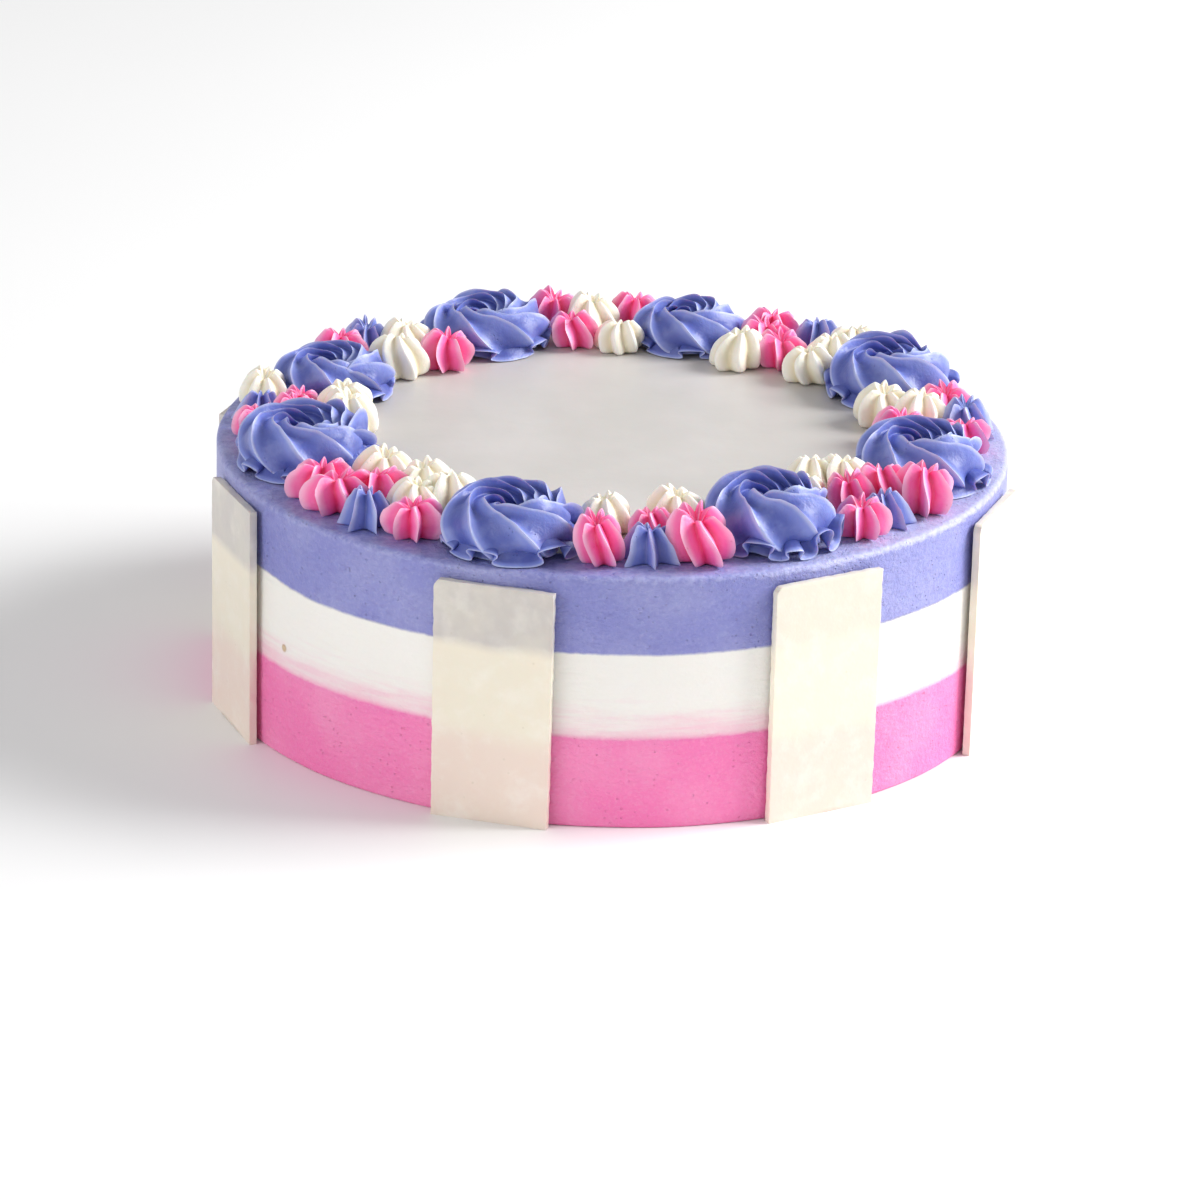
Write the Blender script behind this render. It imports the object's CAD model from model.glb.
"""The looks of a round birthday cake in three bands of buttercream, with piped swirls and stars round its
top and white chocolate plaques against its side. Metres, +Z up. An azimuth is in degrees, 0 at the front."""

import math
import random

import bmesh
import bpy
import numpy as np
from mathutils import Matrix, Vector, noise


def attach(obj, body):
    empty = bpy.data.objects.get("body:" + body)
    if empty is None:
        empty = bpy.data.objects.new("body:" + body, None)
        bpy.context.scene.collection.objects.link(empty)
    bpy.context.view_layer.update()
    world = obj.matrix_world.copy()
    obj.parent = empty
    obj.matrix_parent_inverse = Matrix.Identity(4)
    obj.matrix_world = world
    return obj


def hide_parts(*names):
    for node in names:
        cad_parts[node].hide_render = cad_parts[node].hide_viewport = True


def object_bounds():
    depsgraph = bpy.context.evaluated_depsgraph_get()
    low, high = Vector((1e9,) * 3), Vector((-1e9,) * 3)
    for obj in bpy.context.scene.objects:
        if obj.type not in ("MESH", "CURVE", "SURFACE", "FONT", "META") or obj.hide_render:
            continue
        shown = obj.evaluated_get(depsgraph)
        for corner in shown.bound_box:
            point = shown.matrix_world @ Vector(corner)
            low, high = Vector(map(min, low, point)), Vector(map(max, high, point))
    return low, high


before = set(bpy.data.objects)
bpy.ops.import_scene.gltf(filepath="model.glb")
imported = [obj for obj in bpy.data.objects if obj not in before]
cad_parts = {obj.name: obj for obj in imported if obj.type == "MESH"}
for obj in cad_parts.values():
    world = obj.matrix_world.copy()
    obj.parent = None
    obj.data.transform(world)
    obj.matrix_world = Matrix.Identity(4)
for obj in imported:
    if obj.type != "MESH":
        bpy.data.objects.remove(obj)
cad_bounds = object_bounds()

MM = 0.001
SEED = 8

# The cake
CAKE_RADIUS = 108.0 * MM
CAKE_HEIGHT = 69.7 * MM
PINK_TOP = 24.5 * MM
WHITE_TOP = 48.5 * MM
TOP_ICING_RADIUS = 92.3 * MM
TOP_ICING_DEPTH = 2.3 * MM
RIM_ROUND = 1.5 * MM
FOOT_ROUND = 0.8 * MM
FIT_GAP = 0.3 * MM
CRUMB_AZIMUTH = -52.6
CRUMB_HEIGHT = 31.2 * MM
CAKE_SIDES = 288
SIDE_CUTS = 34
TOP_RINGS = 22
TOP_RING_WIDE = 4.0 * MM
RIM_RING_WIDE = 2.0 * MM

# White chocolate plaques
PLAQUE_WIDTH = 33.0 * MM
PLAQUE_HEIGHT = 66.0 * MM
PLAQUE_THICKNESS = 2.0 * MM
PLAQUE_TURN_DEG = 0.8
PLAQUE_UNEVEN = 0.5 * MM
PLAQUE_CHIP = 1.2 * MM
PLAQUE_CUTS = 59
PLAQUE_EDGE = 0.28 * MM
PLAQUE_EDGE_DEG = 50
PLAQUES = {"a": -15.8, "b": 31.0, "c": 70.0, "d": 117.0, "e": 163.0, "f": 207.0, "g": 250.0, "h": 293.0}

# Each swirl: azimuth, radius, distance from the cake's axis, height, and the azimuth its tail ends at
SWIRLS = {
    "a": (-16.5, 19.4 * MM, 88.0 * MM, 15.0 * MM, 75.0),
    "b": (29.0, 18.0 * MM, 87.5 * MM, 17.0 * MM, 95.0),
    "c": (72.0, 18.4 * MM, 88.0 * MM, 15.0 * MM, 85.0),
    "d": (118.5, 18.6 * MM, 88.5 * MM, 15.0 * MM, 120.0),
    "e": (165.5, 16.2 * MM, 85.0 * MM, 12.5 * MM, 200.0),
    "f": (205.5, 18.6 * MM, 86.5 * MM, 13.0 * MM, 240.0),
    "g": (248.0, 16.6 * MM, 84.0 * MM, 12.5 * MM, 20.0),
    "h": (288.5, 19.8 * MM, 86.0 * MM, 15.0 * MM, 60.0),
}
ROPE_TURNS = 1.42
ROPE_RIBS = 8
ROPE_AROUND = 128
ROPE_ALONG = 200
ROPE_WIDTH_SHARE = 0.41
ROPE_RIB_DEPTH = 0.36
# Where a rib lies round the rope, in degrees from its outer side over its top, as the nozzle moves on past it
RIB_TURNED_DEG = (0, 15, 30, 45, 75, 120, 180, 240, 305, 360)
RIB_LIES_DEG = (-50, -4, 38, 62, 84, 112, 160, 222, 272, 310)
RIB_CROWDING = 0.55
VALLEY_AT = 0.38
CREST_SHARPNESS = 2.2
FRILL_STEPS = 420
FRILL_ROWS = 14
FOLD_BULGE = 1.0
# Folds of the skirt round a swirl's foot: azimuth, half its width in degrees, and height
FOLDS = {
    "a": (
        (-70, 26, 0.5),
        (-25, 22, 0.85),
        (34, 25, 1.1),
        (80, 20, 0.8),
        (128, 24, 0.7),
        (180, 26, 0.6),
        (232, 24, 0.7),
    ),
    "b": (
        (-62, 22, 0.5),
        (-14, 22, 1.0),
        (17, 13, 0.6),
        (46, 17, 1.4),
        (82, 20, 1.5),
        (135, 26, 0.8),
        (225, 26, 0.7),
    ),
}

# Piped stars stand in three rows between two swirls: outer, middle and inner
ROWS = {"o": 94.0 * MM, "m": 86.0 * MM, "i": 77.5 * MM}
STAR_RADIUS = 6.9 * MM
STAR_HEIGHT_SHARES = {"pink": 1.65, "white": 1.75, "violet": 1.7}
TALL_PINK = {"ab": 1.42, "bc": 1.25}
STAR_JITTER = 0.06
STAR_FINS = 6
PIPING_EDGE = 104.0 * MM
MERGED_APART = 1.5
SETTLE_ROUNDS = 150
ROW_PULL = 0.3
GAPS = {
    "ab": ("pink o31", "violet o49", "pink o67", "white i31", "pink i50", "white i70"),
    "bc": ("pink o36", "violet o53", "pink o69 m66 i56", "white i36", "white i72 i88"),
    "cd": ("pink o33", "violet o52", "pink o70", "pink i38", "white m56 i70"),
    "de": ("white o30 m28 i27", "violet o50", "pink o70 m62 i50", "white i73"),
    "ef": ("pink o34", "white o52", "pink o70", "white i40", "pink i64"),
    "fg": ("white m34", "violet o50", "pink o70", "pink i50", "white i74"),
    "gh": ("white o26", "pink o46 m44", "violet o62", "pink o78", "white i38 i58"),
    "ha": ("pink o26 o38 m43", "violet o54", "pink o71", "white i31", "white m60 i62 i75"),
}

# The visible stars: their ribs, the points from rib to rib, and how much wider they are than the CAD's stars
STAR_RIBS = 7
STAR_STEPS = 8
STAR_SPREAD = {"pink": 1.31, "white": 1.34, "violet": 1.35}
STAR_WIDER = {
    "pink_stars_ab_1": 0.95,
    "violet_stars_ab_2": 1.12,
    "pink_stars_ab_3": 1.14,
    "pink_stars_ab_5": 0.8,
    "pink_stars_bc_1": 1.2,
    "pink_stars_ha_1": 1.14,
}
STAR_LEAN = 0.16
STAR_TWIST_DEG = 3.0
# A star's section from a rib's tip down to the valley beside it
STAR_SECTIONS = {
    "pink": (1.0, 0.75, 0.60, 0.51, 0.47),
    "violet": (1.0, 0.75, 0.60, 0.51, 0.47),
    "white": (1.0, 0.94, 0.85, 0.74, 0.66),
}
STAR_VALLEY_SINKS = {"pink": 0.19, "violet": 0.24, "white": 0.11}
# A star's outline from its foot up: width and height
STAR_SHAPES = {
    "pink": ((0.78, 0.0), (0.87, 0.08), (0.98, 0.26), (1.0, 0.44), (0.95, 0.62), (0.83, 0.82), (0.66, 0.95)),
    "violet": ((1.1, 0.0), (1.02, 0.05), (0.95, 0.2), (0.84, 0.42), (0.73, 0.63), (0.6, 0.81), (0.5, 0.95)),
    "white": ((0.86, 0.0), (0.95, 0.09), (1.0, 0.28), (0.98, 0.48), (0.88, 0.67), (0.7, 0.84), (0.47, 0.96)),
}
# The rings that turn in at a star's top: rise, and width as a share of the ring before
STAR_HOLLOW = ((0.03, 0.84), (-0.13, 0.66), (-0.16, 0.45))

# Softboxes: azimuth and elevation in degrees, distance and size in metres, and power in watts
SOFTBOXES = {"window": (96.0, 34.0, 1.6, 0.8, 34.0), "front_fill": (-56.0, 18.0, 2.2, 1.4, 15.0)}
LIT_POINT = (0.0, 0.0, 40.0 * MM)
SKY_STRENGTH = 0.50

# The camera that took the photograph: where it looks, how far off, how high and how far rolled
LENS_MM = 173.75
SENSOR_MM = 36.0
CAMERA_TARGET = (-2.37 * MM, 0.0, 21.82 * MM)
CAMERA_DISTANCE = 1.6
CAMERA_ELEVATION_DEG = 21.137
CAMERA_ROLL_DEG = 1.467


def polar(radius, azimuth, z=0.0):
    """The point at this distance from the cake's axis, azimuth and height."""
    angle = math.radians(azimuth)
    return Vector((radius * math.sin(angle), -radius * math.cos(angle), z))


# Shader maths
class Number:
    """A number in a material that varies over the surface. Python's operators on it add Math nodes."""

    def __init__(self, paint, socket):
        self.paint = paint
        self.socket = socket

    def math(self, operation, *others, clamp=False):
        node = self.paint.node("ShaderNodeMath", {"operation": operation, "use_clamp": clamp})
        for index, value in enumerate((self, *others)):
            self.paint.feed(node.inputs[index], value)
        return Number(self.paint, node.outputs[0])

    def __add__(self, other):
        return self.math("ADD", other)

    def __sub__(self, other):
        return self.math("SUBTRACT", other)

    def __mul__(self, other):
        return self.math("MULTIPLY", other)

    def __radd__(self, other):
        return self.math("ADD", other)

    def __rmul__(self, other):
        return self.math("MULTIPLY", other)

    def __rsub__(self, other):
        node = self.paint.node("ShaderNodeMath", {"operation": "SUBTRACT"})
        self.paint.feed(node.inputs[0], other)
        self.paint.feed(node.inputs[1], self)
        return Number(self.paint, node.outputs[0])

    def clamped(self):
        return self.math("ADD", 0.0, clamp=True)

    def ramp(self, low, high):
        """0 below low, 1 above high and smooth between. Where low is the greater, it falls instead."""
        node = self.paint.node("ShaderNodeMapRange", {"interpolation_type": "SMOOTHSTEP"})
        self.paint.feed(node.inputs["Value"], self)
        ends = (low, high, 0.0, 1.0) if low < high else (high, low, 1.0, 0.0)
        for name, value in zip(("From Min", "From Max", "To Min", "To Max"), ends):
            node.inputs[name].default_value = value
        return Number(self.paint, node.outputs["Result"])


class Paint:
    """The nodes of one material."""

    def __init__(self, name):
        self.material = bpy.data.materials.new(name)
        self.material.use_nodes = True
        self.tree = self.material.node_tree
        self.shader = self.tree.nodes["Principled BSDF"]
        self.place = self.node("ShaderNodeTexCoord").outputs["Object"]

    def feed(self, socket, value):
        """Links a value to a socket, or sets it there where it is a plain one."""
        value = value.socket if isinstance(value, Number) else value
        if isinstance(value, bpy.types.NodeSocket):
            self.tree.links.new(value, socket)
        else:
            socket.default_value = value

    def node(self, kind, settings=None, values=None):
        """Any node: its settings are made first, then its sockets get their values or links."""
        made = self.tree.nodes.new(kind)
        for name, value in (settings or {}).items():
            setattr(made, name, value)
        for name, value in (values or {}).items():
            self.feed(made.inputs[name], value)
        return made

    def along(self, axis):
        """X, Y or Z of the surface point, in metres."""
        split = self.node("ShaderNodeSeparateXYZ", values={"Vector": self.place})
        return Number(self, split.outputs[axis])

    def stretched(self, stretch):
        scaled = self.node("ShaderNodeMapping", values={"Vector": self.place, "Scale": stretch})
        return scaled.outputs["Vector"]

    def noise(self, size, detail=2.0, roughness=0.5, stretch=None):
        """Noise from 0 to 1 whose blots are about this size, in metres."""
        vector = self.stretched(stretch) if stretch else self.place
        values = {"Vector": vector, "Scale": 1 / size, "Detail": detail, "Roughness": roughness}
        return Number(self, self.node("ShaderNodeTexNoise", values=values).outputs["Fac"])

    def cells(self, size):
        """Distance to scattered points, as a share of their spacing."""
        values = {"Vector": self.place, "Scale": 1 / size}
        return Number(self, self.node("ShaderNodeTexVoronoi", values=values).outputs["Distance"])

    def spot(self, centre, reach, core):
        """1 within the core of a round mark and 0 beyond its reach."""
        node = self.node("ShaderNodeVectorMath", {"operation": "DISTANCE"}, {0: self.place, 1: centre})
        return Number(self, node.outputs["Value"]).ramp(reach, core)

    def attribute(self, name):
        node = self.node("ShaderNodeAttribute", {"attribute_name": name})
        return Number(self, node.outputs["Fac"])

    def mix(self, share, first, second):
        """The first colour going over to the second one by a share."""
        node = self.node("ShaderNodeMix", {"data_type": "RGBA"})
        self.feed(node.inputs[0], share)
        self.feed(node.inputs[6], first)
        self.feed(node.inputs[7], second)
        return node.outputs[2]

    def bump(self, height, distance):
        """Relief up to this distance where the height is 1, in metres."""
        values = {"Height": height, "Distance": distance, "Strength": 1.0}
        self.feed(self.shader.inputs["Normal"], self.node("ShaderNodeBump", values=values).outputs["Normal"])

    def finish(self, colour, roughness, **fixed):
        """Colour and roughness that vary, and the shader's own fixed values."""
        self.feed(self.shader.inputs["Base Color"], colour)
        self.feed(self.shader.inputs["Roughness"], roughness)
        for name, value in fixed.items():
            self.shader.inputs[name.replace("_", " ")].default_value = value
        return self.material


def colour(red, green, blue):
    """A colour given as on a screen, 0 to 255, as the shader reads it."""
    steps = [value / 255 for value in (red, green, blue)]
    linear = [s / 12.92 if s <= 0.04045 else ((s + 0.055) / 1.055) ** 2.4 for s in steps]
    return (*linear, 1.0)


PINK = colour(248, 122, 184)
WHITE = colour(243, 240, 234)
VIOLET = colour(134, 137, 203)
# Piped icing: the colour of a rib, of the valley beside it and of the rib's thin edge
PIPED = {
    "pink": (colour(252, 110, 176), colour(240, 46, 114), colour(255, 200, 226)),
    "white": (colour(246, 241, 226), colour(232, 220, 188), colour(255, 253, 244)),
    "violet": (colour(120, 133, 207), colour(80, 92, 170), colour(190, 198, 236)),
}


def side_paint():
    """The three colours of buttercream on the cake's side, each scraped a little into the next."""
    paint = Paint("banded_icing")
    height = paint.along("Z")
    wander = paint.noise(34 * MM, 2.0) - 0.5
    fuzz = paint.noise(2.4 * MM, 3.0, 0.6) - 0.5
    streaks = paint.noise(30 * MM, 4.0, 0.62, stretch=(1.0, 1.0, 9.0))
    level = height + wander * (1.6 * MM) + fuzz * (0.7 * MM)
    lifted = level - paint.along("X").ramp(-70 * MM, -104 * MM) * (2.0 * MM)
    violet = lifted.ramp(WHITE_TOP - 0.5 * MM, WHITE_TOP + 0.5 * MM)
    haze_top = height + (streaks - 0.5) * (17 * MM) + fuzz * (2.0 * MM)
    haze = haze_top.ramp(PINK_TOP + 11 * MM, PINK_TOP - 1 * MM)
    solid_pink = level.ramp(PINK_TOP + 2.0 * MM, PINK_TOP - 1.0 * MM)
    pink = (haze * 0.45 + solid_pink).clamped()
    base = paint.mix(pink, WHITE, PINK)
    base = paint.mix(violet, base, VIOLET)
    blots = paint.noise(22 * MM, 3.0)
    base = paint.mix(blots.ramp(0.35, 0.75) * 0.10, base, colour(255, 255, 255))
    tinted = (violet + pink).clamped()
    pits = paint.cells(1.7 * MM).ramp(0.22, 0.06) * paint.noise(7 * MM).ramp(0.44, 0.62) * tinted
    specks = paint.cells(6.1 * MM).ramp(0.07, 0.03) * violet * paint.noise(28 * MM).ramp(0.46, 0.58)
    grain = paint.noise(0.9 * MM, 4.0, 0.7)
    peel = paint.noise(2.2 * MM, 3.0, 0.6, stretch=(1.0, 1.0, 1.6))
    base = paint.mix(grain.ramp(0.42, 0.80) * 0.10, base, colour(255, 255, 255))
    base = paint.mix(peel.ramp(0.56, 0.30) * 0.22 * violet, base, colour(104, 106, 176))
    base = paint.mix((pits * 0.10 * violet + specks * 0.4).clamped(), base, colour(96, 92, 150))
    rim = (height + (peel - 0.5) * (2.4 * MM)).ramp(CAKE_HEIGHT - 2.2 * MM, CAKE_HEIGHT - 0.9 * MM)
    scraped = peel.ramp(0.40, 0.62) * 0.18 + paint.along("X").ramp(10 * MM, 80 * MM) * 0.45
    base = paint.mix(rim * scraped, base, colour(206, 208, 240))
    crumb = paint.spot(polar(CAKE_RADIUS, CRUMB_AZIMUTH, CRUMB_HEIGHT), 1.3 * MM, 0.7 * MM)
    base = paint.mix(crumb * 0.75, base, colour(196, 160, 104))
    swipes = paint.noise(7 * MM, 3.0, stretch=(1.0, 1.0, 4.0))
    relief = grain * (0.5 + 0.3 * tinted) + peel * (1.7 * tinted) + swipes * 0.9
    paint.bump(relief - pits * 1.1 - crumb, 0.30 * MM)
    rough = 0.42 + (grain - 0.5) * 0.2 + pits * 0.12
    return paint.finish(base, rough, Subsurface_Weight=0.08, Subsurface_Scale=2 * MM)


def piped_paint(name, ridge, valley, pale):
    """Piped icing: pale thin rib edges, and a deeper colour down in the valleys."""
    paint = Paint(name)
    rib = paint.attribute("rib")
    mottle = paint.noise(5 * MM, 3.0)
    base = paint.mix(rib.ramp(0.0, 0.7), valley, ridge)
    base = paint.mix(mottle.ramp(0.4, 0.75) * 0.15, base, pale)
    base = paint.mix(rib.ramp(0.66, 1.0) * 0.80, base, pale)
    bubbles = paint.cells(1.6 * MM).ramp(0.16, 0.06) * paint.noise(6 * MM).ramp(0.52, 0.62)
    base = paint.mix(bubbles * 0.25, base, valley)
    grain = paint.noise(0.7 * MM, 3.0, 0.6)
    drag = paint.noise(2.6 * MM, 3.0, 0.6)
    paint.bump(grain * 0.4 + drag * 0.9 - bubbles * 0.8, 0.22 * MM)
    rough = 0.41 + (mottle - 0.5) * 0.16 + (grain - 0.5) * 0.10
    return paint.finish(base, rough, Subsurface_Weight=0.12, Subsurface_Scale=2 * MM)


def top_paint():
    """The cake's pale flat top, smoothed round with a palette knife."""
    paint = Paint("smoothed_top_icing")
    cloud = paint.noise(42 * MM, 3.0)
    fine = paint.noise(3 * MM, 3.0, 0.6)
    base = paint.mix(cloud.ramp(0.35, 0.7), colour(198, 194, 190), colour(208, 203, 200))
    base = paint.mix(fine.ramp(0.55, 0.8) * 0.12, base, colour(190, 184, 188))
    paint.bump(fine * 0.5 + paint.noise(14 * MM, 2.0) * 1.5, 0.12 * MM)
    rough = 0.40 + (cloud - 0.5) * 0.12 + (fine - 0.5) * 0.06
    return paint.finish(base, rough, Subsurface_Weight=0.06, Subsurface_Scale=2 * MM)


def chocolate_paint():
    """Thin white chocolate, through which the colour of each band behind it shows a little."""
    paint = Paint("white_chocolate")
    height = paint.along("Z")
    cloud = paint.noise(26 * MM, 3.0, 0.55)
    level = height + (cloud - 0.5) * (5 * MM)
    base = paint.mix(level.ramp(20 * MM, 28 * MM), colour(238, 219, 206), colour(240, 231, 212))
    thin = level.ramp(47 * MM, 51 * MM) * (1 - 0.65 * paint.along("X").ramp(20 * MM, 50 * MM))
    base = paint.mix(thin, base, colour(212, 206, 197))
    milky = paint.noise(7 * MM, 4.0, 0.62)
    base = paint.mix(milky.ramp(0.42, 0.78) * 0.35, base, colour(252, 248, 240))
    clouds = paint.noise(13 * MM, 3.0) * thin
    base = paint.mix(clouds.ramp(0.38, 0.62) * 0.42, base, colour(190, 184, 184))
    specks = paint.cells(5 * MM).ramp(0.1, 0.03)
    base = paint.mix(specks * 0.22, base, colour(188, 176, 150))
    fine = paint.noise(1.4 * MM, 3.0, 0.6)
    paint.bump(fine * 0.3 + milky * 0.8, 0.16 * MM)
    rough = 0.34 + (milky - 0.5) * 0.22
    return paint.finish(base, rough, Subsurface_Weight=0.1, Subsurface_Scale=3 * MM)


def floor_paint():
    paint = Paint("floor")
    shade = paint.noise(0.3, 2.0)
    base = paint.mix(shade, colour(246, 246, 246), colour(250, 250, 250))
    return paint.finish(base, 0.6)


# Modelling
def start():
    """Nothing selected and nothing in edit mode."""
    if bpy.context.object and bpy.context.object.mode == "EDIT":
        bpy.ops.object.mode_set(mode="OBJECT")
    bpy.ops.object.select_all(action="DESELECT")


def named(name):
    """The object just added, under its own name."""
    made = bpy.context.object
    made.name = name
    made.data.name = name
    return made


def pick(kind, rule):
    """Selects the vertices, edges or faces that the rule takes, in edit mode, and nothing else."""
    mesh = bpy.context.object.data
    bm = bmesh.from_edit_mesh(mesh)
    bpy.ops.mesh.select_mode(type=kind)
    bpy.ops.mesh.select_all(action="DESELECT")
    items = {"VERT": bm.verts, "EDGE": bm.edges, "FACE": bm.faces}[kind]
    for item in items:
        if rule(item):
            item.select_set(True)
    bm.select_flush_mode()
    bmesh.update_edit_mesh(mesh)


def only(piece):
    """Selects one piece and nothing else, and makes it the active one."""
    start()
    piece.select_set(True)
    bpy.context.view_layer.objects.active = piece


def copied(pattern, name):
    """A copy of a piece, with a mesh of its own."""
    only(pattern)
    bpy.ops.object.duplicate()
    return named(name)


def joined(pieces, name):
    """Several pieces made into one."""
    only(pieces[0])
    for piece in pieces[1:]:
        piece.select_set(True)
    if len(pieces) > 1:
        bpy.ops.object.join()
    return named(name)


def finished(piece, kind, **settings):
    """Adds a modifier with these settings and applies it."""
    only(piece)
    made = piece.modifiers.new(kind.lower(), kind)
    for name, value in settings.items():
        setattr(made, name, value)
    bpy.ops.object.modifier_apply(modifier=made.name)


def roughen(piece, size, amount):
    """Makes a surface a little uneven along its normals, in blots of about this size."""
    clouds = bpy.data.textures.new(piece.name + "_clouds", "CLOUDS")
    clouds.noise_scale = size
    clouds.noise_depth = 2
    finished(piece, "DISPLACE", texture=clouds, texture_coords="GLOBAL", strength=2 * amount, mid_level=0.5)


def smooth(piece, angle):
    """Shades a surface smooth except at edges sharper than this, in degrees."""
    only(piece)
    bpy.ops.object.shade_smooth_by_angle(angle=math.radians(angle))


def place(piece, matrix):
    """Moves a piece's mesh, and leaves its object at the origin."""
    piece.data.transform(matrix @ piece.matrix_world)
    piece.matrix_world = Matrix()


def points_of(piece):
    """The places of a mesh's vertices, one row each."""
    flat = np.zeros(len(piece.data.vertices) * 3)
    piece.data.vertices.foreach_get("co", flat)
    return flat.reshape(-1, 3)


def kept_inside(piece):
    """Keeps a surface within the room that the CAD model takes."""
    low, high = np.array(cad_bounds)
    piece.data.vertices.foreach_set("co", np.clip(points_of(piece), low, high).ravel())
    piece.data.update()


def settled(piece, material, slot, *nodes):
    """Gives a finished piece its material, its place in the frame and the CAD nodes it stands for."""
    kept_inside(piece)
    piece.data.materials.clear()
    piece.data.materials.append(material)
    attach(piece, "root")
    if nodes:
        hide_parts(*nodes)
    return piece


# The cake's side: one turned body, cut into its three bands
def edge_at(radius, level, edge):
    """Whether both ends of an edge lie at this radius and level."""
    ends = [vert.co for vert in edge.verts]
    return all(abs(co.z - level) < 0.01 * MM and abs(co.xy.length - radius) < 0.01 * MM for co in ends)


def make_body():
    start()
    middle = (0.0, 0.0, CAKE_HEIGHT / 2)
    size = {"vertices": CAKE_SIDES, "radius": CAKE_RADIUS, "depth": CAKE_HEIGHT}
    bpy.ops.mesh.primitive_cylinder_add(location=middle, **size)
    body = named("cake_body")
    bpy.ops.object.transform_apply(location=True, rotation=False, scale=False)
    bpy.ops.object.mode_set(mode="EDIT")
    pick("EDGE", lambda e: abs(e.verts[0].co.z - e.verts[1].co.z) > 10 * MM)
    bpy.ops.mesh.subdivide(number_cuts=SIDE_CUTS)
    pick("EDGE", lambda e: edge_at(CAKE_RADIUS, 0.0, e))
    bpy.ops.mesh.bevel(offset=FOOT_ROUND, segments=3)
    pick("EDGE", lambda e: edge_at(CAKE_RADIUS, CAKE_HEIGHT, e))
    bpy.ops.mesh.bevel(offset=RIM_ROUND, segments=5)
    pick("FACE", lambda f: f.normal.z > 0.99 and len(f.verts) > 4)
    bpy.ops.mesh.inset(thickness=RIM_RING_WIDE)
    bpy.ops.mesh.inset(thickness=CAKE_RADIUS - RIM_ROUND - RIM_RING_WIDE - TOP_ICING_RADIUS)
    bpy.ops.mesh.extrude_region_move(TRANSFORM_OT_translate={"value": (0, 0, -TOP_ICING_DEPTH)})
    bpy.ops.object.mode_set(mode="OBJECT")
    roughen(body, 30 * MM, 0.22 * MM)
    roughen(body, 5 * MM, 0.05 * MM)
    return body


def make_bands(material):
    body = make_body()
    bands = {
        "band_pink": ("pink_icing", -1.0 * MM, PINK_TOP),
        "band_white": ("white_icing", PINK_TOP, WHITE_TOP),
        "band_violet": ("violet_icing", WHITE_TOP, CAKE_HEIGHT + 1.0 * MM),
    }
    for node, (slot, low, high) in bands.items():
        band = copied(body, node.replace("band_", "") + "_band_of_icing")
        bpy.ops.object.mode_set(mode="EDIT")
        for level, outer in ((low, False), (high, True)):
            if 0 < level < CAKE_HEIGHT:
                bpy.ops.mesh.select_all(action="SELECT")
                cut = {"clear_outer": outer, "clear_inner": not outer, "use_fill": True}
                bpy.ops.mesh.bisect(plane_co=(0, 0, level), plane_no=(0, 0, 1), **cut)
        bpy.ops.object.mode_set(mode="OBJECT")
        smooth(band, 50)
        settled(band, material, slot, node)
    bpy.data.objects.remove(body)


def make_top(material):
    """The flat pale top, let into the violet band."""
    start()
    middle = (0.0, 0.0, CAKE_HEIGHT - TOP_ICING_DEPTH / 2)
    size = {"vertices": CAKE_SIDES, "radius": TOP_ICING_RADIUS, "depth": TOP_ICING_DEPTH}
    bpy.ops.mesh.primitive_cylinder_add(location=middle, **size)
    top = named("smooth_top_of_icing")
    bpy.ops.object.transform_apply(location=True, rotation=False, scale=False)
    bpy.ops.object.mode_set(mode="EDIT")
    pick("FACE", lambda f: f.normal.z > 0.99)
    for _ in range(TOP_RINGS):
        bpy.ops.mesh.inset(thickness=TOP_RING_WIDE)
    bpy.ops.mesh.poke()
    bpy.ops.object.mode_set(mode="OBJECT")
    roughen(top, 24 * MM, 0.12 * MM)
    smooth(top, 50)
    settled(top, material, "top_icing", "top_icing")


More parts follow.
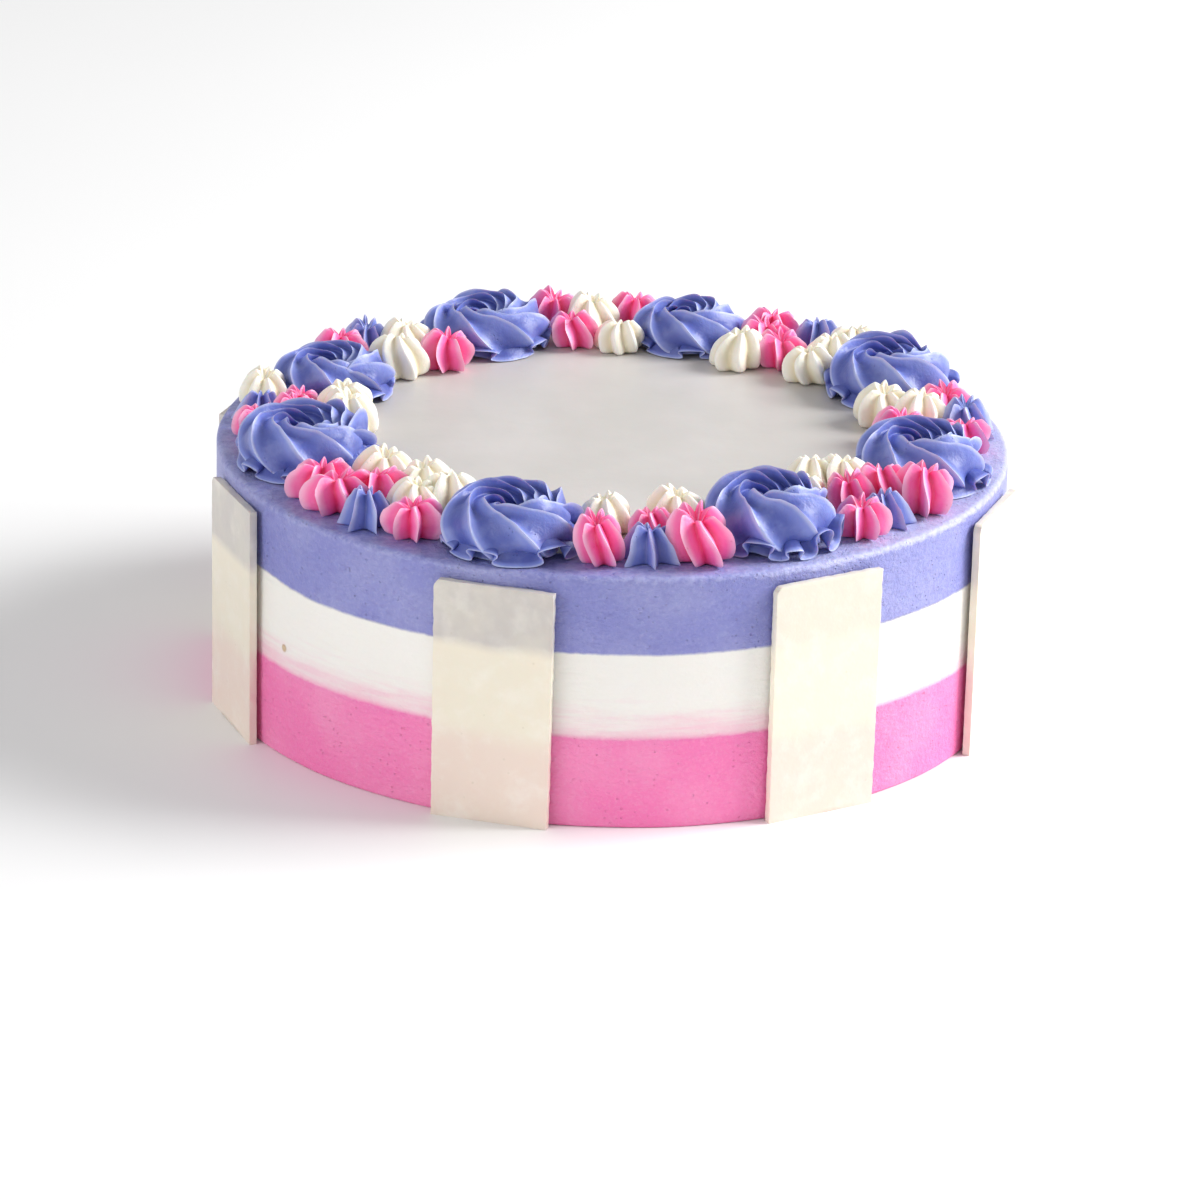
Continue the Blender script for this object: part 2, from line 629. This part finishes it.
# The plaques
def make_plaques(material, rng):
    start()
    size = (PLAQUE_WIDTH, PLAQUE_THICKNESS, PLAQUE_HEIGHT)
    middle = (0, -PLAQUE_THICKNESS / 2, PLAQUE_HEIGHT / 2)
    bpy.ops.mesh.primitive_cube_add(size=1, location=middle, scale=size)
    pattern = named("plaque_pattern")
    bpy.ops.object.transform_apply()
    bpy.ops.object.mode_set(mode="EDIT")
    pick("EDGE", lambda e: abs(e.verts[0].co.y - e.verts[1].co.y) < 0.1 * MM)
    bpy.ops.mesh.subdivide(number_cuts=PLAQUE_CUTS)
    bpy.ops.object.mode_set(mode="OBJECT")
    for letter, azimuth in PLAQUES.items():
        turn = azimuth + rng.uniform(-PLAQUE_TURN_DEG, PLAQUE_TURN_DEG)
        left, right, lean, rise = (rng.uniform(-PLAQUE_UNEVEN, PLAQUE_UNEVEN) for _ in range(4))
        plaque = copied(pattern, f"chocolate_plaque_{letter}")
        for vert in plaque.data.vertices:
            across = vert.co.x / PLAQUE_WIDTH + 0.5
            up = vert.co.z / PLAQUE_HEIGHT
            snapped = 0.5 + noise.noise(vert.co * 430 + Vector((0, 0, azimuth)))
            inset = (0.12 + 0.24 * max(snapped, 0)) * MM
            if abs(across - 0.5) > 0.49:
                vert.co.x -= inset * math.copysign(1, across - 0.5)
            if up > 0.98:
                vert.co.z -= 0.7 * inset
            chip = max(PLAQUE_CHIP * 1.2 - across * PLAQUE_WIDTH - (1 - up) * PLAQUE_HEIGHT, 0)
            vert.co.x += (1 - across) * left + across * (right * (1 - up) + lean * up) + 0.5 * chip
            vert.co.z += up * across * rise - 0.5 * chip
        sharp = math.radians(PLAQUE_EDGE_DEG)
        finished(plaque, "BEVEL", width=PLAQUE_EDGE, segments=2, limit_method="ANGLE", angle_limit=sharp)
        turned = Matrix.Rotation(math.radians(turn), 4, "Z")
        place(plaque, Matrix.Translation(polar(CAKE_RADIUS + FIT_GAP, azimuth)) @ turned)
        roughen(plaque, 12 * MM, 0.06 * MM)
        smooth(plaque, 40)
        settled(plaque, material, "white_chocolate", f"plaque_{letter}")
    bpy.data.objects.remove(pattern)


# The swirls
def laid(piece, centre, reach, where, level, rib):
    """Puts each vertex at its reach, angle and level round a centre, and notes how near a rib it is."""
    places = np.stack([reach * np.cos(where), reach * np.sin(where), level], axis=1) + np.array(centre)
    piece.data.vertices.foreach_set("co", places.ravel())
    piece.data.attributes.new("rib", "FLOAT", "POINT").data.foreach_set("value", rib.astype(np.float32))
    bpy.ops.object.mode_set(mode="EDIT")
    bpy.ops.mesh.select_all(action="SELECT")
    bpy.ops.mesh.remove_doubles(threshold=0.002 * MM)
    pick("EDGE", lambda e: e.is_boundary)
    if any(edge.select for edge in bmesh.from_edit_mesh(piece.data).edges):
        raise ValueError(piece.name + " has an open edge")
    bpy.ops.mesh.select_all(action="SELECT")
    bpy.ops.mesh.normals_make_consistent(inside=False)
    bpy.ops.object.mode_set(mode="OBJECT")


def pipe_rope(letter):
    """A rope of icing from a star nozzle, wound outwards, clockwise from above, round a hollow middle.
    The nozzle isn't turned as it goes round, so each rib climbs from the foot over to the inner side."""
    azimuth, wide, ring, tall, tail = SWIRLS[letter]
    start()
    bpy.ops.mesh.primitive_grid_add(x_subdivisions=ROPE_AROUND, y_subdivisions=ROPE_ALONG, size=1)
    rope = named(f"rope_{letter}")
    grid = points_of(rope) + 0.5
    along = grid[:, 1]
    rib_number = grid[:, 0] * ROPE_RIBS
    share = rib_number - np.floor(rib_number + 1e-6)
    rib_number = rib_number - RIB_CROWDING * np.sin(2 * math.pi * share) / (2 * math.pi)
    share = np.clip(rib_number - np.floor(rib_number + 1e-4), 0, 1)
    path = -2 * math.pi * ROPE_TURNS * (along - 1)
    ending = np.clip((along - 0.85) / 0.15, 0, 1)
    opening = np.sin(np.clip(along / 0.42, 0, 1) * math.pi / 2)
    turned = np.degrees(2 * math.pi * rib_number / ROPE_RIBS - path) % 360
    around = np.radians(np.interp(turned, RIB_TURNED_DEG, RIB_LIES_DEG))
    slope = np.where(share < VALLEY_AT, 1 - share / VALLEY_AT, (share - VALLEY_AT) / (1 - VALLEY_AT))
    crest = slope**CREST_SHARPNESS
    depth = ROPE_RIB_DEPTH + 0.42 * ending - 0.10 * np.clip(np.cos(around), 0, 1)
    girth = (1 - depth * (1 - crest)) * (0.45 + 0.55 * opening) * (1 - 0.42 * ending**2.5)
    for end in (along / 0.05, (1 - along) / 0.09):
        girth *= np.sqrt(1 - (1 - np.clip(end, 0, 1)) ** 2)
    half = wide * ROPE_WIDTH_SHARE
    centring = 0.08 + 0.92 * np.sin(np.clip(along / 0.52, 0, 1) * math.pi / 2)
    lean = around + 0.12 * crest
    crest_number = np.round(grid[:, 0] * ROPE_RIBS) % ROPE_RIBS
    wavering = 1 + 0.07 * crest * np.sin(path * 5 + 2.3 * crest_number + azimuth)
    outwards = np.cos(lean) * half * girth * wavering
    upwards = np.sin(lean) * tall * 0.49 * girth * wavering
    level = tall * (0.16 + 0.30 * opening + 0.03 * np.sin(path * 2 + azimuth)) + upwards
    level = np.maximum(level + 0.18 * tall * ending**2, -0.3 * MM)
    drawn_in = 0.22 * half * np.clip(upwards / tall, -0.3, 1)
    reach = wide * (1 - ROPE_WIDTH_SHARE) * centring + outwards - drawn_in
    where = path + math.radians(tail - 90)
    edge = crest * np.clip(0.3 + 2.4 * along, 0, 1)
    laid(rope, polar(ring, azimuth, CAKE_HEIGHT), reach, where, level, edge)
    return rope


def fold_curve(folds, circle):
    """How far the skirt's edge is lifted at an angle, and how far it swings to the side there."""
    lift = np.zeros_like(circle)
    swing = np.zeros_like(circle)
    for azimuth, half, height in folds:
        away = (circle - math.radians(azimuth - 90) + math.pi) % (2 * math.pi) - math.pi
        phase = np.clip(away / math.radians(half), -1, 1) * math.pi
        lift = np.maximum(lift, height * (0.5 + 0.5 * np.cos(phase)))
        swing += FOLD_BULGE * math.radians(half) / math.pi * np.sin(2 * phase)
    return lift, swing


def pipe_frill(letter):
    """The rope's lowest fold, squeezed out over the cake's top: a thin skirt round the swirl's foot."""
    azimuth, wide, ring, tall, _ = SWIRLS[letter]
    rng = random.Random(letter)
    others = [(51 * k + rng.uniform(-11, 11), rng.uniform(17, 24), rng.uniform(0.5, 1.1)) for k in range(7)]
    folds = FOLDS.get(letter, others)
    start()
    bpy.ops.mesh.primitive_grid_add(x_subdivisions=FRILL_STEPS, y_subdivisions=FRILL_ROWS, size=1)
    frill = named(f"frill_{letter}")
    grid = points_of(frill) + 0.5
    circle = 2 * math.pi * grid[:, 0]
    loop = 2 * math.pi * grid[:, 1]
    out = 0.5 - 0.5 * np.cos(loop)
    lift, swing = fold_curve(folds, circle)
    ahead = fold_curve(folds, circle + 0.01)
    behind = fold_curve(folds, circle - 0.01)
    run = wide * (0.02 + ahead[1] - behind[1])
    climb = 0.30 * tall * (ahead[0] - behind[0])
    length = np.hypot(run, climb)
    thick = np.sin(loop) * (0.9 - 0.55 * out) * MM
    inner_level = 0.40 * tall
    level = inner_level + (0.3 * MM + 0.30 * tall * lift - inner_level) * out**0.8
    level = np.maximum(level + thick * run / length, -0.3 * MM)
    reach = wide * (0.73 + (0.25 + 0.05 * np.minimum(lift, 1)) * out**1.2)
    where = circle + out**1.5 * swing - thick * climb / length / reach
    laid(frill, polar(ring, azimuth, CAKE_HEIGHT), reach, where, level, np.clip(5 * out - 4, 0, 1))
    return frill


def make_swirl(letter, material):
    swirl = joined([pipe_rope(letter), pipe_frill(letter)], f"violet_swirl_{letter}")
    roughen(swirl, 7 * MM, 0.30 * MM)
    smooth(swirl, 80)
    settled(swirl, material, "violet_icing", f"swirl_{letter}")


# The stars
def swirl_place(letter):
    """Where a swirl stands, and its radius."""
    azimuth, radius, ring, _, _ = SWIRLS[letter]
    return polar(ring, azimuth, CAKE_HEIGHT), radius


def gap_places():
    """Each piece's name, colour, height for its radius, and where its stars would stand given room."""
    pieces = []
    for gap, entries in GAPS.items():
        first, last = SWIRLS[gap[0]][0], SWIRLS[gap[1]][0]
        if last < first:
            last += 360.0
        for number, entry in enumerate(entries, start=1):
            tint, *slots = entry.split()
            points = []
            for slot in slots:
                azimuth = first + (last - first) * float(slot[1:]) / 100
                points.append(polar(ROWS[slot[0]], azimuth, CAKE_HEIGHT))
            tall = TALL_PINK.get(gap, 1.0) if tint == "pink" and slots[0][0] == "o" else 1.0
            share = STAR_HEIGHT_SHARES[tint] * tall
            pieces.append((f"{tint}_stars_{gap}_{number}", tint, share, points))
    return pieces


def settle(pieces):
    """Pushes the stars clear of the swirls and of one another, and keeps those of one piece in touch."""
    swirls = [swirl_place(letter) for letter in SWIRLS]
    stars = [(index, point.copy()) for index, (*_, points) in enumerate(pieces) for point in points]
    rows = [math.hypot(point.x, point.y) for _, point in stars]
    for _ in range(SETTLE_ROUNDS):
        for (_, point), row in zip(stars, rows):
            reach = math.hypot(point.x, point.y)
            point.xy *= 1 + ROW_PULL * (row / reach - 1)
        for number, (index, point) in enumerate(stars):
            for other, (other_index, other_point) in enumerate(stars[:number]):
                apart = point - other_point
                wanted = 2 * STAR_RADIUS + FIT_GAP
                if index == other_index:
                    wanted = MERGED_APART * STAR_RADIUS
                next_in_piece = index == other_index and other == number - 1
                if apart.length < wanted or next_in_piece:
                    push = apart.normalized() * (wanted - apart.length) / 2
                    point += push
                    other_point -= push
            for middle, radius in swirls:
                away = point - middle
                wanted = STAR_RADIUS + radius + FIT_GAP
                if away.length < wanted:
                    point += away.normalized() * (wanted - away.length)
            reach = Vector((point.x, point.y))
            if reach.length > PIPING_EDGE - STAR_RADIUS:
                point.xy = reach.normalized() * (PIPING_EDGE - STAR_RADIUS)
    return stars


def star_radii(stars):
    """Each star's radius: the usual one, or what keeps it clear of the swirls and of other pieces' stars."""
    radii = []
    for index, point in stars:
        room = [STAR_RADIUS]
        for letter in SWIRLS:
            middle, radius = swirl_place(letter)
            room.append((point - middle).length - radius - FIT_GAP)
        for other, other_point in stars:
            if other != index:
                room.append((point - other_point).length / 2 - FIT_GAP / 2)
        radii.append(min(room))
    return radii


def star_pattern(tint):
    """A ribbed drop of icing of unit radius and height, whose ribs end in little tips round a hollow."""
    start()
    count = STAR_RIBS * STAR_STEPS
    bpy.ops.mesh.primitive_circle_add(vertices=count, radius=1.0, fill_type="NGON")
    star = named(f"{tint}_star_pattern")
    rib = star.data.attributes.new("rib", "FLOAT", "POINT")
    for vert in star.data.vertices:
        number = round(math.atan2(vert.co.y, vert.co.x) * count / (2 * math.pi)) % STAR_STEPS
        turn = min(number, STAR_STEPS - number)
        vert.co.xy *= STAR_SECTIONS[tint][turn]
        rib.data[vert.index].value = 1 - turn / (STAR_STEPS / 2)
    bpy.ops.object.mode_set(mode="EDIT")
    bpy.ops.mesh.select_all(action="SELECT")
    shape = STAR_SHAPES[tint]
    bpy.ops.transform.resize(value=(shape[0][0], shape[0][0], 1))
    for (wide, high), (next_wide, next_high) in zip(shape, shape[1:]):
        bpy.ops.mesh.extrude_region_move(TRANSFORM_OT_translate={"value": (0, 0, next_high - high)})
        bpy.ops.transform.resize(value=(next_wide / wide, next_wide / wide, 1), center_override=(0, 0, 0))
        twist = math.radians(STAR_TWIST_DEG)
        bpy.ops.transform.rotate(value=twist, orient_axis="Z", center_override=(0, 0, 0))
    for rise, narrower in STAR_HOLLOW:
        bpy.ops.mesh.extrude_region_move(TRANSFORM_OT_translate={"value": (0, 0, rise)})
        bpy.ops.transform.resize(value=(narrower, narrower, 1), center_override=(0, 0, 0))
    bpy.ops.mesh.select_all(action="SELECT")
    bpy.ops.mesh.normals_make_consistent(inside=False)
    bm = bmesh.from_edit_mesh(star.data)
    ribs = bm.verts.layers.float["rib"]
    for vert in bm.verts:
        above = max(vert.co.z - 0.6, 0) / 0.4
        hollow = 1 - vert[ribs]
        vert.co.z -= STAR_VALLEY_SINKS[tint] * hollow * above
        vert.co.xy *= 1 - 0.20 * hollow * above
    if tint != "white":
        outer = lambda v: v[ribs] > 0.99 and v.co.z < 0.94 and v.co.xy.length > 0.6
        pick("EDGE", lambda e: all(outer(v) for v in e.verts))
        bpy.ops.transform.edge_crease(value=0.9)
    bpy.ops.object.mode_set(mode="OBJECT")
    return star


def vary(star, rng):
    """Bends a copied star's ribs a little, and makes them unlike one another in height and width."""
    places = points_of(star)
    bend, oval, slant, tips = (rng.uniform(0, 2 * math.pi) for _ in range(4))
    around = np.arctan2(places[:, 1], places[:, 0])
    reach = np.hypot(places[:, 0], places[:, 1])
    up = places[:, 2]
    reach *= 1 + 0.07 * np.sin(2 * around + oval)
    wavy = 0.035 * np.sin(2 * around + tips) * np.clip(up - 0.6, 0, 1) / 0.4
    up = up * (1 + 0.07 * np.sin(around + slant)) + wavy
    around += 0.13 * np.sin(3.4 * up + bend)
    places = np.stack([reach * np.cos(around), reach * np.sin(around), up], axis=1)
    star.data.vertices.foreach_set("co", places.ravel())


def make_stars(materials, rng):
    patterns = {tint: star_pattern(tint) for tint in STAR_SHAPES}
    for pattern in patterns.values():
        finished(pattern, "SUBSURF", levels=1, render_levels=1)
    shape_rng = random.Random(SEED)
    pieces = gap_places()
    stars = settle(pieces)
    radii = star_radii(stars)
    for index, (name, tint, share, _) in enumerate(pieces):
        made = []
        for (owner, point), radius in zip(stars, radii):
            if owner != index:
                continue
            spread = STAR_SPREAD[tint] * STAR_WIDER.get(name, 1.0)
            size = spread * radius * (1 - rng.uniform(0, STAR_JITTER))
            turn = rng.uniform(0, 2 * math.pi / STAR_FINS)
            # A number that only the CAD uses is drawn here too, so that the next draws are the same in both
            rng.uniform(0.3, 1.0)
            star = copied(patterns[tint], f"{name}_piped_{len(made)}")
            vary(star, shape_rng)
            scale = Matrix.Diagonal((size, size, size / spread * share, 1))
            leaning = Matrix.Identity(4)
            leaning[0][2] = shape_rng.uniform(-STAR_LEAN, STAR_LEAN)
            leaning[1][2] = shape_rng.uniform(-STAR_LEAN, STAR_LEAN)
            place(star, Matrix.Translation(point) @ leaning @ Matrix.Rotation(turn, 4, "Z") @ scale)
            made.append(star)
        piece = joined(made, f"piped_{name}")
        roughen(piece, 6 * MM, 0.45 * MM)
        smooth(piece, 70)
        settled(piece, materials[tint], f"{tint}_icing", name)
    for pattern in patterns.values():
        bpy.data.objects.remove(pattern)


# The floor, the light and the camera
def make_floor(material):
    start()
    bpy.ops.mesh.primitive_plane_add(size=6.0)
    floor = named("floor")
    floor.data.materials.append(material)


def soft_light(name, azimuth, elevation, distance, size, power):
    """A square softbox that faces the cake."""
    rise = math.radians(elevation)
    stand = polar(distance * math.cos(rise), azimuth, distance * math.sin(rise))
    bpy.ops.object.light_add(type="AREA", location=stand)
    lamp = bpy.context.object
    lamp.name = name
    lamp.data.size = size
    lamp.data.energy = power
    lamp.rotation_euler = (Vector(LIT_POINT) - stand).to_track_quat("-Z", "Y").to_euler()


def make_light():
    for name, values in SOFTBOXES.items():
        soft_light(name, *values)
    world = bpy.data.worlds.new("studio")
    world.use_nodes = True
    background = world.node_tree.nodes["Background"]
    background.inputs["Color"].default_value = (1.0, 1.0, 1.0, 1.0)
    background.inputs["Strength"].default_value = SKY_STRENGTH
    bpy.context.scene.world = world


def make_camera():
    rise = math.radians(CAMERA_ELEVATION_DEG)
    roll = math.radians(CAMERA_ROLL_DEG)
    back = Vector((0, -math.cos(rise), math.sin(rise)))
    up = Vector((0, math.sin(rise), math.cos(rise)))
    right = Vector((1, 0, 0))
    across = math.cos(roll) * right + math.sin(roll) * up
    upright = math.cos(roll) * up - math.sin(roll) * right
    bpy.ops.object.camera_add()
    camera = bpy.context.object
    camera.name = "camera"
    turned = Matrix((across, upright, back)).transposed().to_4x4()
    camera.matrix_world = Matrix.Translation(Vector(CAMERA_TARGET) + back * CAMERA_DISTANCE) @ turned
    camera.data.lens = LENS_MM
    camera.data.sensor_width = SENSOR_MM
    camera.data.sensor_fit = "HORIZONTAL"
    bpy.context.scene.camera = camera
    bpy.context.scene.view_settings.view_transform = "Standard"


def main():
    rng = random.Random(SEED)
    make_camera()
    make_light()
    make_floor(floor_paint())
    make_bands(side_paint())
    make_top(top_paint())
    make_plaques(chocolate_paint(), rng)
    icings = {tint: piped_paint(f"{tint}_piping", *colours) for tint, colours in PIPED.items()}
    for letter in SWIRLS:
        make_swirl(letter, icings["violet"])
    make_stars(icings, rng)


main()
start()
